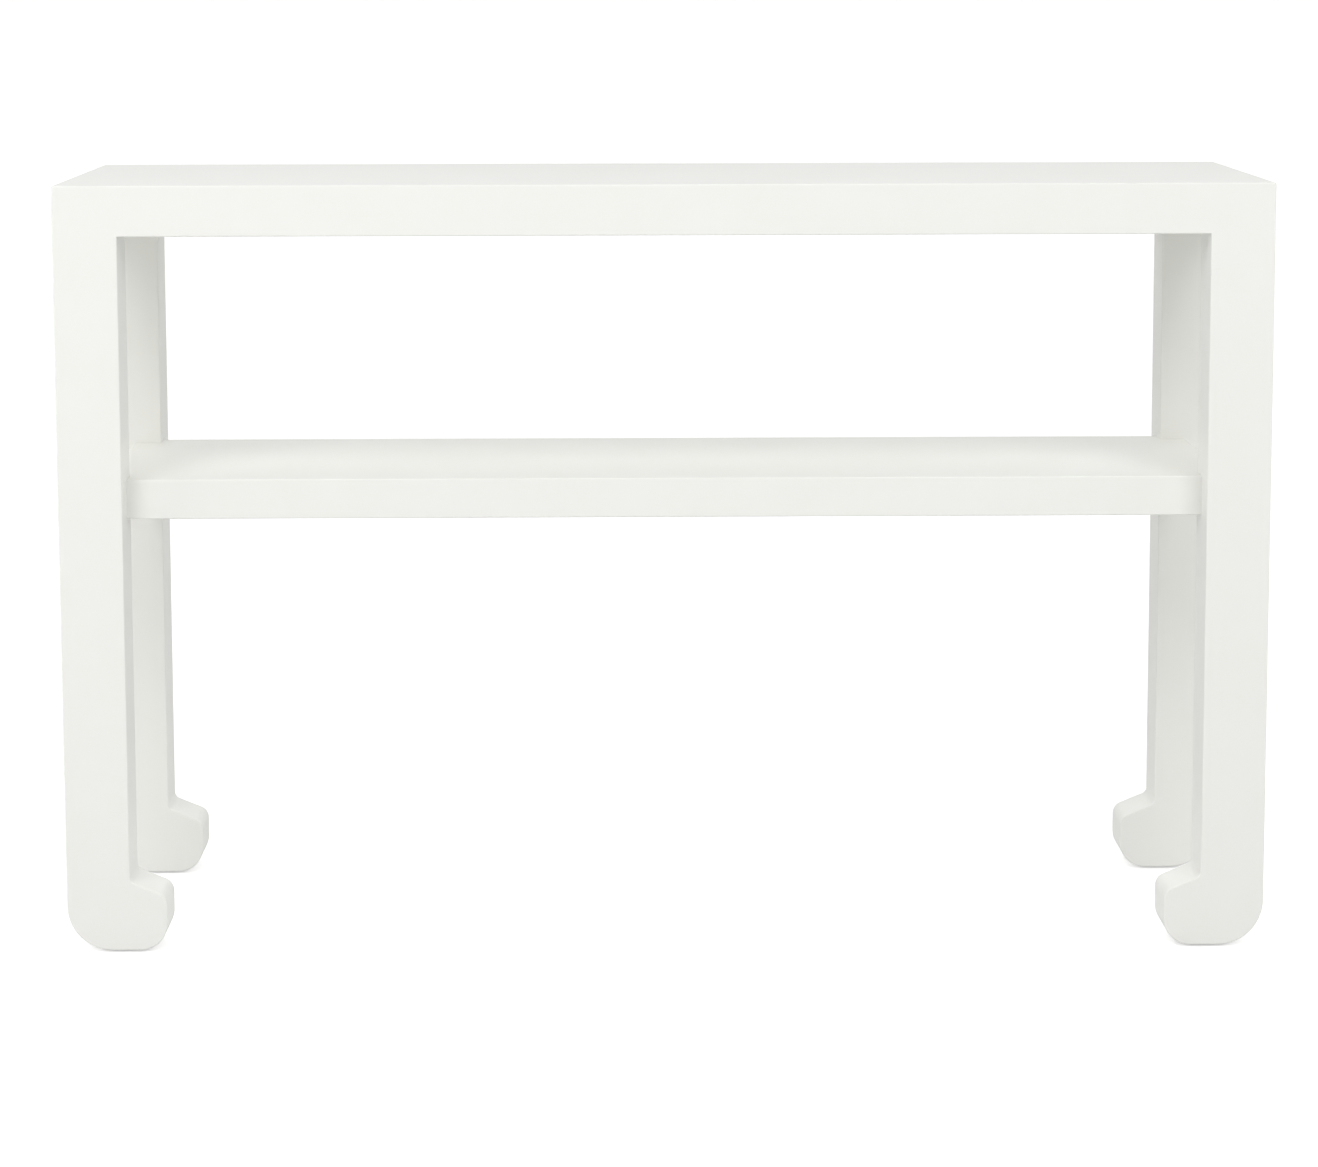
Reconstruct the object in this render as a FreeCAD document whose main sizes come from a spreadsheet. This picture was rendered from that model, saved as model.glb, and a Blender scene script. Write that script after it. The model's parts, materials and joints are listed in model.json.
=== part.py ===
import FreeCAD
import Part
import Sketcher

import math
import os
import re

# Lacquered console table with horse-hoof feet and a shelf between the legs.
# Millimetres. +Z up, the table's front faces -Y, its length runs along X, and the
# origin is on the floor under the middle of the table. Corner pieces are built once,
# at the front left, and mirrored to the other three corners.

DIMENSIONS = (
    ("table_width", 1270, "overall length of the top"),
    ("table_depth", 410, "overall depth of the top"),
    ("table_height", 813, "floor to tabletop"),
    ("leg_width", 67, "side of the square leg"),
    ("edge_radius", 1.5, "easing of the lacquered edges"),
    ("top_thickness", 18, "top panel"),
    ("rail_height", 35, "rails under the top panel"),
    ("rail_thickness", 22, "rails of the top and of the shelf"),
    ("batten_width", 40, "battens of the top and of the shelf"),
    ("batten_height", 24, "battens and corner blocks under the top"),
    ("batten_spacing", 300, "from one batten to the next"),
    ("shelf_level", 501, "floor to the shelf's upper face"),
    ("shelf_thickness", 42, "overall thickness of the hollow shelf"),
    ("skin_thickness", 9, "upper and lower skins of the shelf"),
    ("shelf_inset", 38, "shelf edge behind the legs' outer faces"),
    ("tenon_length", 11, "stub tenons on the shelf rails"),
    ("tenon_thickness", 12, "stub tenons on the shelf rails"),
    ("tenon_height", 16, "stub tenons on the shelf rails"),
    ("foot_zone", 100, "floor to the top of the shaped foot"),
    ("heel_radius", 48, "round on the outer side of the foot"),
    ("toe_reach", 39, "toe beyond the leg's inner face"),
    ("toe_root", 76.5, "floor to where the toe's back meets the leg"),
    ("toe_shoulder", 60.5, "floor to the corner at the toe's tip"),
    ("root_radius", 8.5, "hollow between the toe and the leg"),
    ("shoulder_radius", 14, "upper round of the toe"),
    ("sole_radius", 29, "lower round of the toe"),
    ("glide_thickness", 2, "glide under each foot"),
    ("glide_radius", 12, "glide under each foot"),
    ("glide_round", 0.8, "round on the glide's lower edge"),
    ("glide_setback", 4.5, "glide centre outside the leg's inner face"),
    ("pin_radius", 1.25, "pin moulded into the glide"),
    ("pin_length", 16, "pin moulded into the glide"),
    ("pin_cover", 0.6, "plastic left below the pin"),
    ("dowel_radius", 4, "beech dowels"),
    ("dowel_length", 40, "dowels between rail and leg"),
    ("dowel_spacing", 16, "between the two dowels of a rail end"),
    ("foot_dowel_length", 36, "dowels between toe and leg"),
    ("foot_dowel_level", 35, "floor to the toe's dowels"),
    ("foot_dowel_edge", 20, "toe's dowels from the leg's front and back"),
    ("block_reach", 62, "corner block beyond the leg's inner faces"),
    ("block_throat", 30, "corner block between the leg and its long face"),
    ("screw_length", 35, "wood screws"),
    ("screw_radius", 2, "shank of the screws"),
    ("screw_head_radius", 4, "countersunk head of the screws"),
    ("screw_head_height", 2.4, "countersunk head of the screws"),
    ("screw_tip", 5, "point of the screws"),
    ("screw_offset", 50, "screws of the corner block from the leg"),
    ("screw_sink", 27, "screw heads in the block's long face from the leg"),
    ("counterbore_radius", 5, "hole that takes a screw head"),
    ("counterbore_depth", 14, "hole that takes a screw head"),
)

NAMES = {name for name, _, _ in DIMENSIONS}

UPPER, LOWER = 1, -1

MIRROR_X = FreeCAD.Vector(1, 0, 0)
MIRROR_Y = FreeCAD.Vector(0, 1, 0)

# Shared places, as expressions on the sheet's names.
LEFT = "-table_width / 2"
FRONT = "-table_depth / 2"
LEG_INNER_X = "(leg_width - table_width / 2)"
LEG_INNER_Y = "(leg_width - table_depth / 2)"
PANEL_UNDERSIDE = "(table_height - top_thickness)"
RAIL_UNDERSIDE = "(table_height - top_thickness - rail_height)"
SHELF_CORE = "(shelf_thickness - 2 * skin_thickness)"
FRAME_SPAN_X = "(table_width - 2 * leg_width)"
FRAME_SPAN_Y = "(table_depth - 2 * leg_width)"


def make_sheet(doc):
    """The driving dimensions, one plain number to a row."""
    sheet = doc.addObject("Spreadsheet::Sheet", "Dims")
    for row, (name, size, note) in enumerate(DIMENSIONS, start=1):
        sheet.set(f"A{row}", note)
        sheet.set(f"B{row}", str(size))
        sheet.setAlias(f"B{row}", name)
    doc.recompute()
    return sheet


def on_sheet(expression):
    """The expression with each dimension's name pointing at its cell."""
    return re.sub(
        r"[a-z_]+",
        lambda word: f"Dims.{word[0]}" if word[0] in NAMES else word[0],
        expression,
    )


def bind(thing, **expressions):
    """Binds properties to the sheet. A double underscore in a name stands for a dot."""
    for name, expression in expressions.items():
        thing.setExpression(name.replace("__", "."), on_sheet(expression))


def place(thing, x="0", y="0", z="0"):
    bind(thing, Placement__Base__x=x, Placement__Base__y=y, Placement__Base__z=z)


def number(doc, expression):
    return float(doc.Dims.evalExpression(on_sheet(expression)))


def new_body(doc, label):
    body = doc.addObject("PartDesign::Body", label)
    body.Label = label
    return body


def new_sketch(body, role, level=None):
    """A sketch on one of the body's own origin planes, raised by level."""
    sketch = body.newObject("Sketcher::SketchObject", f"{body.Name}_sketch")
    plane = next(item for item in body.Origin.OriginFeatures if item.Role == role)
    sketch.AttachmentSupport = [(plane, "")]
    sketch.MapMode = "FlatFace"
    if level:
        bind(sketch, AttachmentOffset__Base__z=level)
    return sketch


def pin_point(sketch, geometry, point, x, y):
    """Fixes a point of the sketch at two expressions from the sketch's origin."""
    for kind, expression in (("DistanceX", x), ("DistanceY", y)):
        size = number(sketch.Document, expression)
        row = sketch.addConstraint(Sketcher.Constraint(kind, -1, 1, geometry, point, size))
        sketch.setExpression(f"Constraints[{row}]", on_sheet(expression))


def rounded_corner(before, corner, after, radius):
    """The centre of the arc in a corner, and where it touches the two sides."""
    arriving = (corner - before).normalize()
    leaving = (after - corner).normalize()
    setback = radius * math.tan(arriving.getAngle(leaving) / 2)
    inwards = (leaving - arriving).normalize()
    centre = corner + inwards * math.hypot(setback, radius)
    return centre, corner - arriving * setback, corner + leaving * setback


def outline(sketch, corners):
    """A closed outline through corners, each (x, y) or (x, y, radius) as expressions."""
    doc = sketch.Document
    spots = [FreeCAD.Vector(number(doc, c[0]), number(doc, c[1]), 0) for c in corners]
    count = len(corners)
    touches = []
    for i, corner in enumerate(corners):
        if len(corner) == 3:
            neighbours = (spots[i - 1], spots[i], spots[(i + 1) % count])
            touches.append(rounded_corner(*neighbours, number(doc, corner[2])))
        else:
            touches.append((None, spots[i], spots[i]))
    sides = [
        sketch.addGeometry(Part.LineSegment(touches[i][2], touches[(i + 1) % count][1]))
        for i in range(count)
    ]
    for i, corner in enumerate(corners):
        before, after = sides[i - 1], sides[i]
        if len(corner) == 2:
            sketch.addConstraint(Sketcher.Constraint("Coincident", before, 2, after, 1))
            pin_point(sketch, after, 1, corner[0], corner[1])
            continue
        centre, start, end = touches[i]
        middle = centre + (spots[i] - centre).normalize() * (start - centre).Length
        arc = sketch.addGeometry(Part.Arc(start, middle, end))
        turns_left = (start - centre).cross(end - centre).z > 0
        first, last = (1, 2) if turns_left else (2, 1)
        sketch.addConstraint(Sketcher.Constraint("Tangent", before, 2, arc, first))
        sketch.addConstraint(Sketcher.Constraint("Tangent", after, 1, arc, last))
        radius = number(doc, corner[2])
        row = sketch.addConstraint(Sketcher.Constraint("Radius", arc, radius))
        sketch.setExpression(f"Constraints[{row}]", on_sheet(corner[2]))
        tip = sketch.addGeometry(Part.Point(spots[i]), True)
        sketch.addConstraint(Sketcher.Constraint("PointOnObject", tip, 1, before))
        sketch.addConstraint(Sketcher.Constraint("PointOnObject", tip, 1, after))
        pin_point(sketch, tip, 1, corner[0], corner[1])


def rectangle(sketch, width, height, x="0", y="0"):
    right, top = f"{x} + {width}", f"{y} + {height}"
    outline(sketch, ((x, y), (right, y), (right, top), (x, top)))


def pad(body, sketch, length, reverse=False):
    feature = body.newObject("PartDesign::Pad", f"{body.Name}_pad")
    feature.Profile = sketch
    feature.Reversed = reverse
    bind(feature, Length=length)
    body.Document.recompute()
    return feature


def ease(body, base, keep):
    """Rounds those edges of the base for which keep(edge) holds."""
    chosen = [f"Edge{i}" for i, edge in enumerate(base.Shape.Edges, 1) if keep(edge)]
    feature = body.newObject("PartDesign::Fillet", f"{body.Name}_fillet")
    feature.Base = (base, chosen)
    bind(feature, Radius="edge_radius")
    body.Document.recompute()


def revolve(body, sketch):
    feature = body.newObject("PartDesign::Revolution", f"{body.Name}_revolution")
    feature.Profile = sketch
    feature.ReferenceAxis = (sketch, ["V_Axis"])
    feature.Angle = 360


def combine(doc, kind, label, members):
    """One object from several: Part::Compound keeps them apart, Part::MultiFuse joins."""
    group = doc.addObject(kind, label)
    group.Label = label
    if kind == "Part::Compound":
        group.Links = members
    else:
        group.Shapes = members
    return group


def two_shape(doc, kind, label, base, tool):
    """A Part::Cut or Part::Common of two objects."""
    result = doc.addObject(kind, label)
    result.Label = label
    result.Base = base
    result.Tool = tool
    return result


def mirror(doc, source, label, normal):
    copy = doc.addObject("Part::Mirroring", label)
    copy.Label = label
    copy.Source = source
    copy.Normal = normal
    return copy


def four_corners(doc, source, stem):
    """The front left piece and its three mirror images."""
    source.Label = f"{stem}_front_left"
    right = mirror(doc, source, f"{stem}_front_right", MIRROR_X)
    back = mirror(doc, source, f"{stem}_back_left", MIRROR_Y)
    far = mirror(doc, back, f"{stem}_back_right", MIRROR_X)
    return [source, right, back, far]


def all_corners(doc, members, label):
    """One group: a corner's members and their images at the other three corners."""
    corner = combine(doc, "Part::Compound", f"{label}_corner", members)
    right = mirror(doc, corner, f"{label}_right", MIRROR_X)
    front = combine(doc, "Part::Compound", f"{label}_front", [corner, right])
    back = mirror(doc, front, f"{label}_back", MIRROR_Y)
    return combine(doc, "Part::Compound", label, [front, back])


def box(doc, label, size, corner):
    """A plain board: Part::Box by its length, width and height, and its low corner."""
    board = doc.addObject("Part::Box", label)
    board.Label = label
    bind(board, Length=size[0], Width=size[1], Height=size[2])
    place(board, *corner)
    return board


def cylinder(doc, label, radius, length, start, axis=(0, 0, 1)):
    """A round bar from start along axis."""
    bar = doc.addObject("Part::Cylinder", label)
    up = FreeCAD.Vector(0, 0, 1)
    bar.Placement.Rotation = FreeCAD.Rotation(up, FreeCAD.Vector(*axis))
    bind(bar, Radius=radius, Height=length)
    place(bar, *start)
    return bar


# ---- fasteners and joints --------------------------------------------------------


def rail_dowels(doc):
    """Two dowels, one above the other, in each end of each rail of the top frame."""
    middle = f"{RAIL_UNDERSIDE} + rail_height / 2"
    bars = []
    for side in ("+", "-"):
        level = f"{middle} {side} dowel_spacing / 2"
        along_x = (
            f"{LEG_INNER_X} - dowel_length / 2",
            f"{FRONT} + rail_thickness / 2",
            level,
        )
        along_y = (
            f"{LEFT} + rail_thickness / 2",
            f"{LEG_INNER_Y} - dowel_length / 2",
            level,
        )
        for start, axis in ((along_x, (1, 0, 0)), (along_y, (0, 1, 0))):
            bars.append(cylinder(doc, "dowel", "dowel_radius", "dowel_length", start, axis))
    return all_corners(doc, bars, "rail_dowels")


def foot_dowels(doc):
    """Two dowels side by side between each toe and its leg."""
    start_x = f"{LEG_INNER_X} - foot_dowel_length / 2"
    bars = []
    for y in ("foot_dowel_edge", "leg_width - foot_dowel_edge"):
        start = (start_x, f"{FRONT} + {y}", "foot_dowel_level")
        bars.append(
            cylinder(doc, "dowel", "dowel_radius", "foot_dowel_length", start, (1, 0, 0))
        )
    return all_corners(doc, bars, "foot_dowels")


def glide_pins(doc):
    centre = (f"{LEG_INNER_X} - glide_setback", f"{FRONT} + leg_width / 2", "pin_cover")
    pin = cylinder(doc, "pin", "pin_radius", "pin_length", centre)
    return all_corners(doc, [pin], "glide_pins")


def wood_screw(doc, start, axis=(0, 0, 1)):
    """A countersunk screw, its head at start and its point along axis."""
    body = new_body(doc, "screw")
    sketch = new_sketch(body, "XZ_Plane")
    outline(
        sketch,
        (
            ("0", "0"),
            ("screw_head_radius", "0"),
            ("screw_radius", "screw_head_height"),
            ("screw_radius", "screw_length - screw_tip"),
            ("0", "screw_length"),
        ),
    )
    revolve(body, sketch)
    up = FreeCAD.Vector(0, 0, 1)
    body.Placement.Rotation = FreeCAD.Rotation(up, FreeCAD.Vector(*axis))
    place(body, *start)
    return body


def corner_block_screws(doc):
    """Two screws up into the top panel and one into each rail, at every corner."""
    underside = f"{PANEL_UNDERSIDE} - batten_height"
    middle = f"{PANEL_UNDERSIDE} - batten_height / 2"
    wing = "(leg_width - rail_thickness) / 2"
    near = "block_throat / 2"
    reach_x = f"{LEG_INNER_X} + screw_offset"
    reach_y = f"{LEG_INNER_Y} + screw_offset"
    sink_x = f"{LEG_INNER_X} - screw_sink"
    sink_y = f"{LEG_INNER_Y} - screw_sink"
    screws = [
        wood_screw(doc, (f"{LEG_INNER_X} + {near}", f"{LEG_INNER_Y} - {wing}", underside)),
        wood_screw(doc, (f"{LEG_INNER_X} - {wing}", f"{LEG_INNER_Y} + {near}", underside)),
        wood_screw(doc, (reach_x, sink_y, middle), (0, -1, 0)),
        wood_screw(doc, (sink_x, reach_y, middle), (-1, 0, 0)),
    ]
    return all_corners(doc, screws, "corner_block_screws")


def batten_screws(doc):
    """Three screws up through each batten into the top panel."""
    underside = f"{PANEL_UNDERSIDE} - batten_height"
    screws = [
        wood_screw(doc, (f"{column} * batten_spacing", f"{row} * table_depth / 4", underside))
        for column in (-1, 0, 1)
        for row in (-1, 0, 1)
    ]
    return combine(doc, "Part::Compound", "batten_screws", screws)


# ---- top ------------------------------------------------------------------------


def top_panel(doc, fasteners):
    """The full rectangle: upright corners and the upper rim are eased."""
    body = new_body(doc, "top_panel_board")
    half_x, half_y = "table_width / 2", "table_depth / 2"
    sketch = new_sketch(body, "XY_Plane")
    outline(
        sketch,
        [
            (f"{x} * {half_x}", f"{y} * {half_y}", "edge_radius")
            for x, y in ((-1, -1), (1, -1), (1, 1), (-1, 1))
        ],
    )
    board = pad(body, sketch, "top_thickness")
    upper = number(doc, "top_thickness")
    ease(body, board, lambda edge: edge.BoundBox.ZMin > upper - 0.01)
    place(body, z=PANEL_UNDERSIDE)
    return two_shape(doc, "Part::Cut", "top_panel", body, fasteners)


def top_rail(doc, label, plane, length, corner, fasteners):
    """A rail with its lower outer edge eased, cut for its dowels and screws."""
    body = new_body(doc, f"{label}_board")
    sketch = new_sketch(body, plane)
    rectangle(sketch, "rail_thickness", "rail_height")
    board = pad(body, sketch, length, reverse=plane == "XZ_Plane")
    across = "YMax" if plane == "YZ_Plane" else "XMax"
    ease(
        body,
        board,
        lambda edge: edge.BoundBox.ZMax < 0.01 and getattr(edge.BoundBox, across) < 0.01,
    )
    place(body, *corner)
    return two_shape(doc, "Part::Cut", label, body, fasteners)


def top_rails(doc, fasteners):
    front_corner = (LEG_INNER_X, FRONT, RAIL_UNDERSIDE)
    left_corner = (LEFT, LEG_INNER_Y, RAIL_UNDERSIDE)
    front = top_rail(
        doc, "top_rail_front", "YZ_Plane", FRAME_SPAN_X, front_corner, fasteners
    )
    left = top_rail(doc, "top_rail_left", "XZ_Plane", FRAME_SPAN_Y, left_corner, fasteners)
    back = mirror(doc, front, "top_rail_back", MIRROR_Y)
    right = mirror(doc, left, "top_rail_right", MIRROR_X)
    return [front, back, left, right]


def battens(doc, stem, height, inset, level):
    """Three boards from the front rail to the back rail."""
    boards = []
    for place_name, column in (("left", -1), ("middle", 0), ("right", 1)):
        corner = (
            f"{column} * batten_spacing - batten_width / 2",
            f"{FRONT} + {inset} + rail_thickness",
            level,
        )
        span = f"table_depth - 2 * ({inset} + rail_thickness)"
        size = ("batten_width", span, height)
        boards.append(box(doc, f"{stem}_{place_name}", size, corner))
    return boards


def top_battens(doc, screws):
    boards = battens(
        doc, "top_batten", "batten_height", "0", f"{PANEL_UNDERSIDE} - batten_height"
    )
    cut = []
    for board in boards:
        label = board.Label
        board.Label = f"{label}_board"
        cut.append(two_shape(doc, "Part::Cut", f"{label}_drilled", board, screws))
        cut[-1].Label = label
    return cut


def corner_blocks(doc, screws):
    """Blocks that fill the corner between the leg and two rails under the top panel."""
    body = new_body(doc, "corner_block_board")
    wing = "(leg_width - rail_thickness)"
    sketch = new_sketch(body, "XY_Plane")
    outline(
        sketch,
        (
            ("0", "0"),
            ("0", f"-{wing}"),
            ("block_reach", f"-{wing}"),
            ("block_reach", "block_throat - block_reach"),
            ("block_throat - block_reach", "block_reach"),
            (f"-{wing}", "block_reach"),
            (f"-{wing}", "0"),
        ),
    )
    pad(body, sketch, "batten_height")
    place(body, LEG_INNER_X, LEG_INNER_Y, f"{PANEL_UNDERSIDE} - batten_height")
    middle = f"{PANEL_UNDERSIDE} - batten_height / 2"
    heads = [
        cylinder(doc, "counterbore", "counterbore_radius", "counterbore_depth", start, axis)
        for start, axis in (
            (
                (f"{LEG_INNER_X} + screw_offset", f"{LEG_INNER_Y} - screw_sink", middle),
                (0, 1, 0),
            ),
            (
                (f"{LEG_INNER_X} - screw_sink", f"{LEG_INNER_Y} + screw_offset", middle),
                (1, 0, 0),
            ),
        )
    ]
    sunk = combine(doc, "Part::Compound", "counterbores", heads)
    bored = two_shape(doc, "Part::Cut", "corner_block_bored", body, sunk)
    drilled = two_shape(doc, "Part::Cut", "corner_block", bored, screws)
    return four_corners(doc, drilled, "corner_block")


# ---- shelf ----------------------------------------------------------------------


def shelf_skin(doc, label, level, side):
    """A skin notched round the legs, with the rim of its outer face eased."""
    body = new_body(doc, label)
    edge_x, edge_y = "(table_width / 2 - shelf_inset)", "(table_depth / 2 - shelf_inset)"
    leg_x, leg_y = "(table_width / 2 - leg_width)", "(table_depth / 2 - leg_width)"
    corners = []
    for x, y in ((-1, -1), (1, -1), (1, 1), (-1, 1)):
        notch = [
            (f"{x} * {edge_x}", f"{y} * {leg_y}"),
            (f"{x} * {leg_x}", f"{y} * {leg_y}", "edge_radius"),
            (f"{x} * {leg_x}", f"{y} * {edge_y}"),
        ]
        corners += notch if x == y else notch[::-1]
    sketch = new_sketch(body, "XY_Plane")
    outline(sketch, corners)
    board = pad(body, sketch, "skin_thickness")
    face_level = number(doc, "skin_thickness") if side == UPPER else 0
    rims = (number(doc, edge_x), number(doc, edge_y))

    def on_rim(edge):
        bounds = edge.BoundBox
        middle = edge.CenterOfMass
        level_with_face = abs(bounds.ZMin - face_level) < 0.01 > abs(bounds.ZMax - face_level)
        free_x = abs(abs(middle.x) - rims[0]) < 0.01
        free_y = abs(abs(middle.y) - rims[1]) < 0.01
        return level_with_face and (free_x or free_y)

    ease(body, board, on_rim)
    place(body, z=level)
    return body


def shelf_rail(doc, label, plane, length, corner):
    """A rail between two legs with a stub tenon on each end."""
    body = new_body(doc, label)
    reverse = plane == "XZ_Plane"
    sketch = new_sketch(body, plane)
    rectangle(sketch, "rail_thickness", SHELF_CORE)
    pad(body, sketch, length, reverse)
    sketch = new_sketch(body, plane, "tenon_length" if reverse else "-tenon_length")
    rectangle(
        sketch,
        "tenon_thickness",
        "tenon_height",
        "(rail_thickness - tenon_thickness) / 2",
        f"({SHELF_CORE} - tenon_height) / 2",
    )
    pad(body, sketch, f"{length} + 2 * tenon_length", reverse)
    place(body, *corner)
    return body


def shelf(doc):
    """The hollow shelf: two skins, four rails and three battens."""
    bottom = "(shelf_level - shelf_thickness)"
    core = f"{bottom} + skin_thickness"
    front_corner = (LEG_INNER_X, f"{FRONT} + shelf_inset", core)
    left_corner = (f"{LEFT} + shelf_inset", LEG_INNER_Y, core)
    front = shelf_rail(doc, "shelf_rail_front", "YZ_Plane", FRAME_SPAN_X, front_corner)
    left = shelf_rail(doc, "shelf_rail_left", "XZ_Plane", FRAME_SPAN_Y, left_corner)
    rails = [
        front,
        mirror(doc, front, "shelf_rail_back", MIRROR_Y),
        left,
        mirror(doc, left, "shelf_rail_right", MIRROR_X),
    ]
    skins = [
        shelf_skin(doc, "shelf_top_skin", "shelf_level - skin_thickness", UPPER),
        shelf_skin(doc, "shelf_bottom_skin", bottom, LOWER),
    ]
    boards = battens(doc, "shelf_batten", SHELF_CORE, "shelf_inset", core)
    return rails, skins + boards


# ---- legs and feet ----------------------------------------------------------------


def foot_form(doc):
    """The whole foot in one: round heel, flat sole, and a toe that scrolls inwards."""
    body = new_body(doc, "foot_form")
    sketch = new_sketch(body, "XZ_Plane")
    outline(
        sketch,
        (
            ("-leg_width", "foot_zone"),
            ("-leg_width", "glide_thickness", "heel_radius"),
            ("toe_reach", "glide_thickness", "sole_radius"),
            ("toe_reach", "toe_shoulder", "shoulder_radius"),
            ("0", "toe_root", "root_radius"),
            ("0", "foot_zone"),
        ),
    )
    form = pad(body, sketch, "leg_width", reverse=True)
    depth = number(doc, "leg_width")
    cut_level = number(doc, "foot_zone") - 0.01

    def on_outline(edge):
        bounds = edge.BoundBox
        return bounds.YLength < 0.01 and bounds.ZMin < cut_level and (
            bounds.YMax < 0.01 or bounds.YMin > depth - 0.01
        )

    ease(body, form, on_outline)
    place(body, LEG_INNER_X, FRONT)
    return body


def leg_shaft(doc):
    """The leg above the foot: four eased edges, then square where the rails meet it."""
    body = new_body(doc, "leg_shaft")
    near, far = "0", "leg_width"
    outer = (near, near, "edge_radius")
    shaft = new_sketch(body, "XY_Plane", "foot_zone")
    outline(
        shaft,
        (
            outer,
            (far, near, "edge_radius"),
            (far, far, "edge_radius"),
            (near, far, "edge_radius"),
        ),
    )
    pad(body, shaft, f"{RAIL_UNDERSIDE} - foot_zone")
    head = new_sketch(body, "XY_Plane", RAIL_UNDERSIDE)
    outline(head, (outer, (far, near), (far, far), (near, far)))
    pad(body, head, "rail_height")
    place(body, LEFT, FRONT)
    return body


def legs_and_feet(doc, joints):
    """Each foot form is split at the leg's inner face into the leg's end and the toe."""
    form = foot_form(doc)
    slab = ("leg_width", "foot_zone")
    leg_side = box(doc, "leg_side", ("leg_width", *slab), (LEFT, FRONT, "0"))
    toe_side = box(doc, "toe_side", ("toe_reach + 1", *slab), (LEG_INNER_X, FRONT, "0"))
    leg_end = two_shape(doc, "Part::Common", "leg_end", form, leg_side)
    toe = two_shape(doc, "Part::Common", "toe", form, toe_side)
    post = combine(doc, "Part::MultiFuse", "post", [leg_end, leg_shaft(doc)])
    post.Refine = True
    leg = two_shape(doc, "Part::Cut", "leg", post, joints)
    block = two_shape(doc, "Part::Cut", "foot_block", toe, joints)
    return four_corners(doc, leg, "leg") + four_corners(doc, block, "foot_block")


def glides(doc, pins):
    body = new_body(doc, "glide_disc")
    sketch = new_sketch(body, "XZ_Plane")
    outline(
        sketch,
        (
            ("0", "0"),
            ("glide_radius", "0", "glide_round"),
            ("glide_radius", "glide_thickness"),
            ("0", "glide_thickness"),
        ),
    )
    revolve(body, sketch)
    place(body, f"{LEG_INNER_X} - glide_setback", f"{FRONT} + leg_width / 2")
    disc = two_shape(doc, "Part::Cut", "glide", body, pins)
    return four_corners(doc, disc, "glide")


# ---- the table --------------------------------------------------------------------


def build(doc):
    make_sheet(doc)
    dowels = rail_dowels(doc)
    toe_dowels = foot_dowels(doc)
    pins = glide_pins(doc)
    block_screws = corner_block_screws(doc)
    top_screws = batten_screws(doc)
    top_fixings = combine(doc, "Part::Compound", "top_fixings", [block_screws, top_screws])
    rail_fixings = combine(doc, "Part::Compound", "rail_fixings", [dowels, block_screws])
    shelf_rails, shelf_boards = shelf(doc)
    leg_joints = combine(
        doc, "Part::Compound", "leg_joints", [dowels, toe_dowels, pins, *shelf_rails]
    )
    return [
        top_panel(doc, top_fixings),
        *top_rails(doc, rail_fixings),
        *top_battens(doc, top_screws),
        *corner_blocks(doc, block_screws),
        *legs_and_feet(doc, leg_joints),
        *shelf_rails,
        *shelf_boards,
        *glides(doc, pins),
        dowels,
        toe_dowels,
        pins,
        block_screws,
        top_screws,
    ]


def check(doc, pieces):
    for item in doc.Objects:
        if {"Invalid", "Error"} & set(item.State):
            raise SystemExit(f"{item.Label}: {item.State}")
    for piece in pieces:
        if piece.Shape.isNull() or not piece.Shape.isValid() or not piece.Shape.Solids:
            raise SystemExit(f"{piece.Label}: its shape is empty or not valid")


def main():
    doc = FreeCAD.newDocument("console_table")
    pieces = build(doc)
    doc.recompute()
    check(doc, pieces)
    os.makedirs("parts", exist_ok=True)
    for piece in pieces:
        piece.Shape.exportStep(os.path.join("parts", f"{piece.Label}.step"))
        print(f"{piece.Label}: {len(piece.Shape.Solids)} solids")


main()
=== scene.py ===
import json
import math

import bpy
from mathutils import Matrix, Vector


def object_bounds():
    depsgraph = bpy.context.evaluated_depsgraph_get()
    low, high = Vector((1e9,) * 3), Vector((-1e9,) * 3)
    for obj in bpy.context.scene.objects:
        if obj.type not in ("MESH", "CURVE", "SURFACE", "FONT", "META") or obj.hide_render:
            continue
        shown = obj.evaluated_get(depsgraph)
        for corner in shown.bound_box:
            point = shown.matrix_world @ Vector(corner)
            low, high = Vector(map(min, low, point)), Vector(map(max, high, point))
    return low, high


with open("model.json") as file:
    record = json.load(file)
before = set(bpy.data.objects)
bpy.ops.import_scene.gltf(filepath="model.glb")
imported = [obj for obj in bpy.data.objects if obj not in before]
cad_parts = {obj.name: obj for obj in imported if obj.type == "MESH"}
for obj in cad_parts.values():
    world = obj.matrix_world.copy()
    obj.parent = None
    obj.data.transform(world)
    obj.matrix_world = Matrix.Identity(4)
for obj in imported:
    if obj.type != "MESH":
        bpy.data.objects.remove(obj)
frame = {"nodes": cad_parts, "record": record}
cad_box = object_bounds()
nodes = frame["nodes"]

# Colours of the lacquer: its body, its slightly darker clouds, and where it is thin.
LACQUER = (0.885, 0.888, 0.852)
LACQUER_SHADE = (0.877, 0.880, 0.843)
LACQUER_THIN = (0.874, 0.874, 0.830)

LAMPS_AIM = Vector((0, 0, 0.45))
KEY_SIZE = (0.9, 1.4)
FILL_SIZE = (1.4, 1.2)

# The studio's walls: (sine of the elevation, brightness) from the floor up.
FRONT_WALL = ((0.0, 0.05), (0.28, 0.1), (0.40, 1.95), (0.66, 1.95), (0.78, 0.3))
SIDE_WALL = ((0.0, 0.5), (0.30, 0.5), (0.40, 0.6), (0.66, 0.6), (0.78, 0.3))
CORNER_WALL = ((0.0, 1.15), (0.30, 1.15), (0.40, 1.6), (0.66, 1.6), (0.78, 0.3))
BACK_WALL = ((0.0, 0.62), (0.30, 0.62), (0.40, 1.6), (0.66, 1.6), (0.78, 0.3))

FLOOR_SIDE = 800
FLOOR_WHITE = (0.72, 0.72, 0.72, 1)
FLOOR_GLOW = 0.5


# ---- camera, floor and light -------------------------------------------------------


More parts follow.
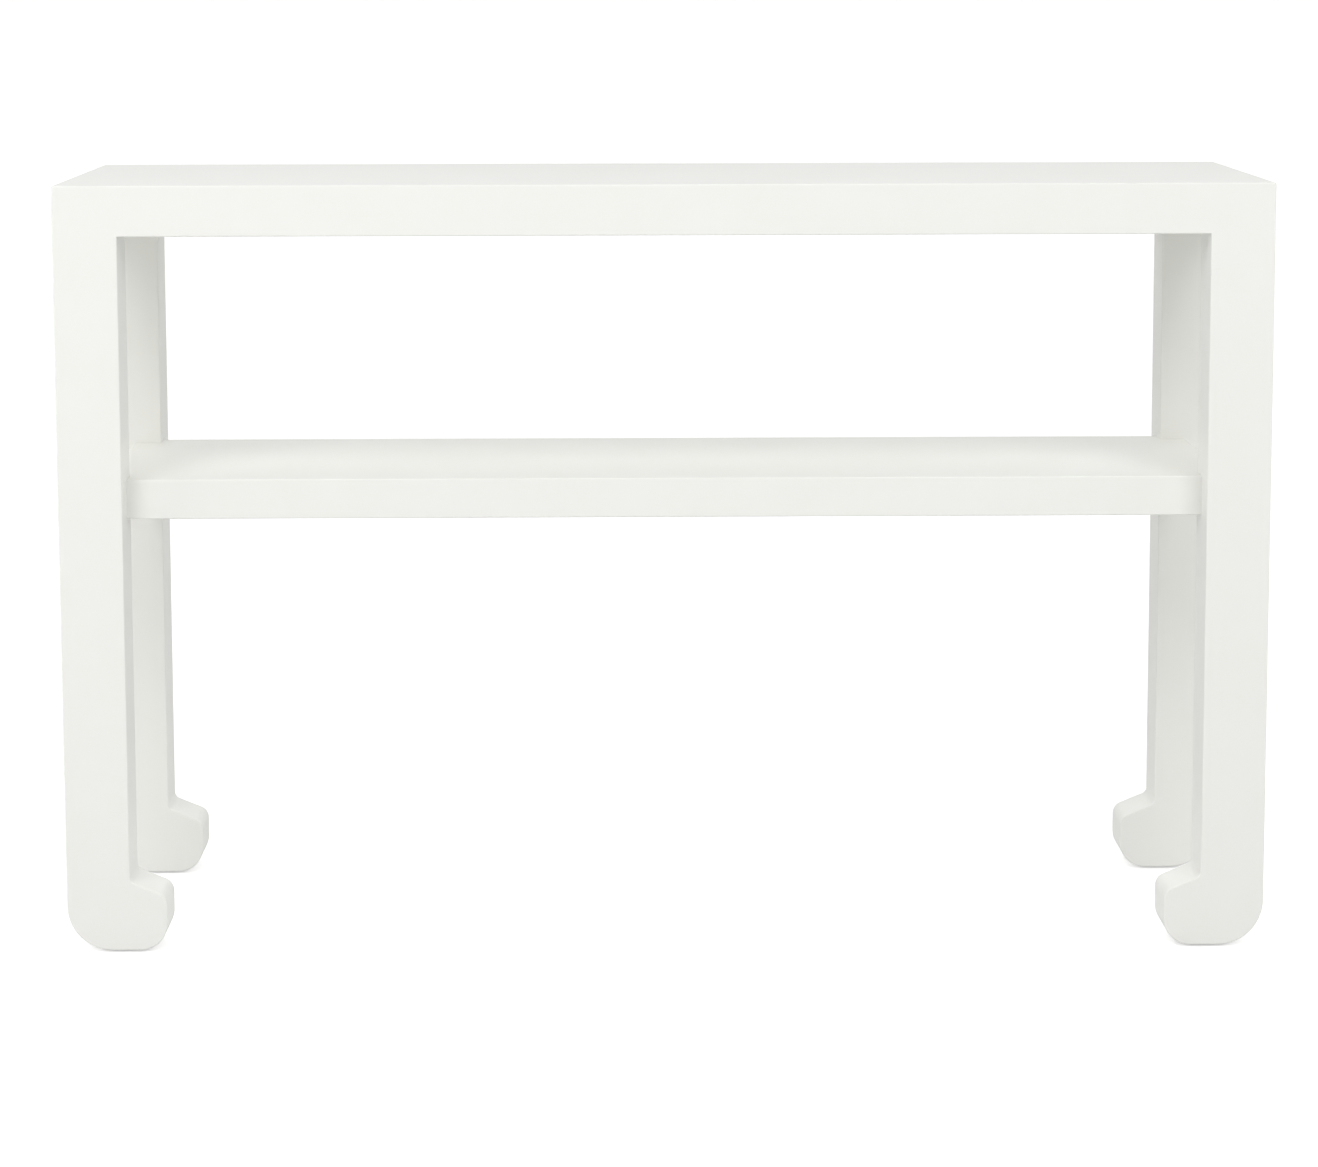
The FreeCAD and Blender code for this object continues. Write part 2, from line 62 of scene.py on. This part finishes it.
def make_camera():
    """Stands in front of the table, a little left of its middle, and looks slightly down."""
    front = cad_box[0].y
    side, ahead, height = -0.0515, 3.8375, 1.0396
    yaw, pitch, roll = math.radians(0.670), math.radians(7.304), math.radians(-0.129)
    data = bpy.data.cameras.new("camera")
    data.lens = 101.19
    data.sensor_width = 36
    data.shift_y = -0.11
    camera = bpy.data.objects.new("camera", data)
    bpy.context.scene.collection.objects.link(camera)
    turn = (
        Matrix.Rotation(-yaw, 4, "Z")
        @ Matrix.Rotation(math.pi / 2 - pitch, 4, "X")
        @ Matrix.Rotation(roll, 4, "Z")
    )
    camera.matrix_world = Matrix.Translation((side, front - ahead, height)) @ turn
    bpy.context.scene.camera = camera


def softbox(name, place, size, power):
    """A rectangular lamp that faces the table's middle and isn't seen, nor mirrored."""
    data = bpy.data.lights.new(name, "AREA")
    data.shape = "RECTANGLE"
    data.size, data.size_y = size
    data.energy = power
    light = bpy.data.objects.new(name, data)
    bpy.context.scene.collection.objects.link(light)
    light.location = place
    light.rotation_mode = "QUATERNION"
    aim = LAMPS_AIM - Vector(place)
    light.rotation_quaternion = aim.to_track_quat("-Z", "Y")
    light.visible_camera = False
    light.visible_glossy = False


def node_maker(tree):
    """A function that adds a node of a kind to the tree and sets its properties."""

    def make(kind, **settings):
        node = tree.nodes.new(kind)
        for name, value in settings.items():
            setattr(node, name, value)
        return node

    return make


def wall(tree, height, stops):
    """Brightness of one wall of the studio at the height of a ray, by its stops."""
    ramp = node_maker(tree)("ShaderNodeValToRGB")
    ramp.color_ramp.interpolation = "EASE"
    points = ramp.color_ramp.elements
    while len(points) < len(stops):
        points.new(0.5)
    for point, (place, level) in zip(points, stops):
        point.position = place
        point.color = (level, level, level, 1)
    tree.links.new(height, ramp.inputs["Fac"])
    return ramp.outputs["Color"]


def between(tree, place, low, high, first, second):
    """Blends first into second as place goes from low to high."""
    make = node_maker(tree)
    step = make("ShaderNodeMapRange", interpolation_type="SMOOTHSTEP")
    step.inputs["From Min"].default_value = low
    step.inputs["From Max"].default_value = high
    mix = make("ShaderNodeMix", data_type="RGBA")
    tree.links.new(place, step.inputs["Value"])
    tree.links.new(step.outputs["Result"], mix.inputs["Factor"])
    tree.links.new(first, mix.inputs["A"])
    tree.links.new(second, mix.inputs["B"])
    return mix.outputs["Result"]


def make_world():
    """A white studio, brightest at shoulder height in front and behind, dim overhead."""
    world = bpy.data.worlds.new("studio")
    bpy.context.scene.world = world
    world.use_nodes = True
    tree = world.node_tree
    tree.nodes.clear()
    make = node_maker(tree)
    way = make("ShaderNodeTexCoord").outputs["Generated"]
    parts = make("ShaderNodeSeparateXYZ")
    level = make("ShaderNodeVectorMath", operation="MULTIPLY")
    level.inputs[1].default_value = (1, 1, 0)
    unit = make("ShaderNodeVectorMath", operation="NORMALIZE")
    facing = make("ShaderNodeVectorMath", operation="DOT_PRODUCT")
    facing.inputs[1].default_value = (0, -1, 0)
    tree.links.new(way, parts.inputs["Vector"])
    tree.links.new(way, level.inputs[0])
    tree.links.new(level.outputs["Vector"], unit.inputs[0])
    tree.links.new(unit.outputs["Vector"], facing.inputs[0])
    height, turn = parts.outputs["Z"], facing.outputs["Value"]
    front = wall(tree, height, FRONT_WALL)
    side = wall(tree, height, SIDE_WALL)
    corner = wall(tree, height, CORNER_WALL)
    back = wall(tree, height, BACK_WALL)
    around = between(tree, turn, -0.94, -0.76, back, corner)
    around = between(tree, turn, -0.15, 0.15, around, side)
    around = between(tree, turn, 0.76, 0.94, around, front)
    seen = make("ShaderNodeLightPath")
    white = make("ShaderNodeMix", data_type="RGBA")
    white.inputs["B"].default_value = (1, 1, 1, 1)
    shade = make("ShaderNodeBackground")
    output = make("ShaderNodeOutputWorld")
    tree.links.new(seen.outputs["Is Camera Ray"], white.inputs["Factor"])
    tree.links.new(around, white.inputs["A"])
    tree.links.new(white.outputs["Result"], shade.inputs["Color"])
    tree.links.new(shade.outputs["Background"], output.inputs["Surface"])


def make_floor():
    """A wide pale floor that glows a little where it is looked at, so that it fades to white."""
    bpy.ops.mesh.primitive_plane_add(size=FLOOR_SIDE)
    floor = bpy.context.object
    floor.name = "floor"
    material = bpy.data.materials.new("floor_white")
    material.use_nodes = True
    shader = material.node_tree.nodes["Principled BSDF"]
    shader.inputs["Base Color"].default_value = FLOOR_WHITE
    shader.inputs["Roughness"].default_value = 0.9
    shader.inputs["Emission Color"].default_value = (1, 1, 1, 1)
    make = node_maker(material.node_tree)
    seen = make("ShaderNodeLightPath")
    glow = make("ShaderNodeMath", operation="MULTIPLY")
    glow.inputs[1].default_value = FLOOR_GLOW
    material.node_tree.links.new(seen.outputs["Is Camera Ray"], glow.inputs[0])
    material.node_tree.links.new(glow.outputs[0], shader.inputs["Emission Strength"])
    floor.data.materials.append(material)


# ---- materials ---------------------------------------------------------------------


class Shading:
    """A material with a Principled shader, and short calls that add nodes to it."""

    def __init__(self, name, **values):
        self.material = bpy.data.materials.new(name)
        self.material.use_nodes = True
        self.tree = self.material.node_tree
        self.add = node_maker(self.tree)
        self.shader = self.tree.nodes["Principled BSDF"]
        self.space = self.add("ShaderNodeTexCoord").outputs["Object"]
        for socket, value in values.items():
            self.shader.inputs[socket.replace("_", " ")].default_value = value

    def join(self, source, target):
        self.tree.links.new(source, target)

    def drive(self, **sources):
        """Feeds the Principled shader's sockets, named with underscores for spaces."""
        for socket, source in sources.items():
            self.join(source, self.shader.inputs[socket.replace("_", " ")])

    def mapped(self, turn, scale, shift=(0, 0, 0)):
        """The object's own space, turned about z, then stretched and shifted."""
        place = self.add("ShaderNodeMapping", vector_type="TEXTURE")
        place.inputs["Rotation"].default_value = (0, 0, turn)
        stretch = self.add("ShaderNodeMapping")
        stretch.inputs["Scale"].default_value = scale
        stretch.inputs["Location"].default_value = shift
        self.join(self.space, place.inputs["Vector"])
        self.join(place.outputs["Vector"], stretch.inputs["Vector"])
        return stretch.outputs["Vector"]

    def noise(self, scale, detail, place=None):
        node = self.add("ShaderNodeTexNoise")
        node.inputs["Scale"].default_value = scale
        node.inputs["Detail"].default_value = detail
        self.join(place or self.space, node.inputs["Vector"])
        return node.outputs["Fac"]

    def rings(self, place, scale, distortion):
        """Year rings about the x axis of the given space."""
        node = self.add("ShaderNodeTexWave", wave_type="RINGS", rings_direction="X")
        node.wave_profile = "SAW"
        node.inputs["Scale"].default_value = scale
        node.inputs["Distortion"].default_value = distortion
        node.inputs["Detail"].default_value = 2
        node.inputs["Detail Scale"].default_value = 0.6
        self.join(place, node.inputs["Vector"])
        return node.outputs["Fac"]

    def edges(self, reach):
        """1 along the edges and in the corners of the mesh, 0 on its open faces."""
        soft = self.add("ShaderNodeBevel", samples=6)
        soft.inputs["Radius"].default_value = reach
        sharp = self.add("ShaderNodeNewGeometry")
        agree = self.add("ShaderNodeVectorMath", operation="DOT_PRODUCT")
        self.join(soft.outputs["Normal"], agree.inputs[0])
        self.join(sharp.outputs["Normal"], agree.inputs[1])
        return self.spread(agree.outputs["Value"], 1, 0, 0.88, 0.998)

    def spread(self, source, low, high, start=0.3, end=0.7):
        """Maps start..end to low..high; noise lies mostly between 0.3 and 0.7."""
        node = self.add("ShaderNodeMapRange")
        node.inputs["From Min"].default_value = start
        node.inputs["From Max"].default_value = end
        node.inputs["To Min"].default_value = low
        node.inputs["To Max"].default_value = high
        self.join(source, node.inputs["Value"])
        return node.outputs["Result"]

    def blend(self, source, first, second):
        """First where the source is 0, second where it is 1; either may be a colour."""
        node = self.add("ShaderNodeMix", data_type="RGBA")
        self.join(source, node.inputs["Factor"])
        for socket, colour in ((node.inputs["A"], first), (node.inputs["B"], second)):
            if isinstance(colour, tuple):
                socket.default_value = (*colour, 1)
            else:
                self.join(colour, socket)
        return node.outputs["Result"]

    def bump(self, source, height, below=None):
        """Relief of the given height in metres, on top of another bump where there is one."""
        node = self.add("ShaderNodeBump")
        node.inputs["Distance"].default_value = height
        self.join(source, node.inputs["Height"])
        if below:
            self.join(below, node.inputs["Normal"])
        return node.outputs["Normal"]


def white_lacquer():
    """Sprayed lacquer: faint orange peel, long waves, and thinner, glossier clouds."""
    look = Shading(
        "white_lacquer", Specular_IOR_Level=0.5, Coat_Weight=0.2, Coat_Roughness=0.2
    )
    body = look.blend(look.spread(look.noise(3, 3), 0, 1), LACQUER, LACQUER_SHADE)
    cloud = look.noise(14, 4)
    peel = look.bump(look.noise(260, 1), 0.000012)
    look.drive(
        Base_Color=look.blend(look.spread(cloud, 0, 0.5), body, LACQUER_THIN),
        Roughness=look.spread(cloud, 0.36, 0.31),
        Normal=look.bump(look.noise(9, 1), 0.0001, peel),
    )
    return look.material


def softwood():
    """Planed softwood with its year rings along the boards, which run from front to back."""
    look = Shading("softwood", Specular_IOR_Level=0.3)
    along = math.radians(90)
    board = look.mapped(along, (0.12, 1, 1), (0, 0.06, 0.035))
    fibre = look.mapped(along, (0.02, 1, 1))
    year = look.rings(board, 60, 2.5)
    fine = look.noise(700, 3, fibre)
    late = look.blend(look.spread(year, 0, 1, 0.35, 1.0), (0.68, 0.49, 0.29), (0.45, 0.27, 0.13))
    tone = look.blend(look.spread(look.noise(6, 2, board), 0, 0.35), late, (0.60, 0.40, 0.22))
    look.drive(
        Base_Color=look.blend(look.spread(fine, 0, 0.3), tone, (0.36, 0.22, 0.11)),
        Roughness=look.spread(fine, 0.55, 0.75),
        Normal=look.bump(fine, 0.00008, look.bump(year, 0.00015)),
    )
    return look.material


def beech():
    """Pale beech with its short dark flecks."""
    look = Shading("beech", Specular_IOR_Level=0.35)
    grain = look.mapped(0, (0.1, 1, 1))
    fleck = look.noise(1400, 2, grain)
    body = look.blend(look.spread(look.noise(25, 3), 0, 1), (0.66, 0.46, 0.30), (0.56, 0.36, 0.22))
    look.drive(
        Base_Color=look.blend(look.spread(fleck, 0, 0.5, 0.5, 0.75), body, (0.34, 0.19, 0.10)),
        Roughness=look.spread(fleck, 0.5, 0.65),
        Normal=look.bump(fleck, 0.00006),
    )
    return look.material


def metal(name, bright, dull, roughness):
    """Plated steel: cloudy, with fine drawn lines and brighter rubbed edges."""
    look = Shading(name, Metallic=1.0)
    cloud = look.noise(160, 4)
    lines = look.noise(2600, 1)
    edge = look.edges(0.0004)
    body = look.blend(look.spread(cloud, 0, 1), bright, dull)
    look.drive(
        Base_Color=look.blend(edge, body, tuple(min(1, 1.25 * c) for c in bright)),
        Roughness=look.spread(cloud, roughness - 0.08, roughness + 0.1),
        Normal=look.bump(lines, 0.00001),
    )
    return look.material


def nylon():
    """Natural nylon, milky and slightly scuffed."""
    look = Shading("nylon", Subsurface_Weight=0.15, Subsurface_Scale=0.002)
    scuff = look.noise(420, 3)
    look.drive(
        Base_Color=look.blend(look.spread(scuff, 0, 1), (0.80, 0.79, 0.74), (0.70, 0.69, 0.63)),
        Roughness=look.spread(scuff, 0.38, 0.55),
        Normal=look.bump(scuff, 0.00003),
    )
    return look.material


def dress():
    """Gives every CAD node the finish of its slot."""
    finishes = {
        "white_lacquer": white_lacquer(),
        "beech_dowels": beech(),
        "zinc_screws": metal("zinc", (0.72, 0.71, 0.64), (0.58, 0.58, 0.54), 0.32),
        "steel_pins": metal("steel", (0.58, 0.58, 0.58), (0.46, 0.45, 0.44), 0.30),
        "nylon_glides": nylon(),
        "bare_softwood": softwood(),
    }
    for part in frame["record"]["subparts"]:
        mesh = nodes[part["node"]].data
        mesh.materials.clear()
        mesh.materials.append(finishes[part["material_slot"]])


make_camera()
make_world()
make_floor()
softbox("key_left", (-1.25, -2.0, 2.3), KEY_SIZE, 19)
softbox("key_right", (1.25, -2.0, 2.3), KEY_SIZE, 15.5)
softbox("fill_left", (-2.4, -0.6, 1.2), FILL_SIZE, 8)
softbox("fill_right", (2.4, -0.6, 1.2), FILL_SIZE, 4)
dress()
bpy.context.scene.view_settings.view_transform = "Standard"
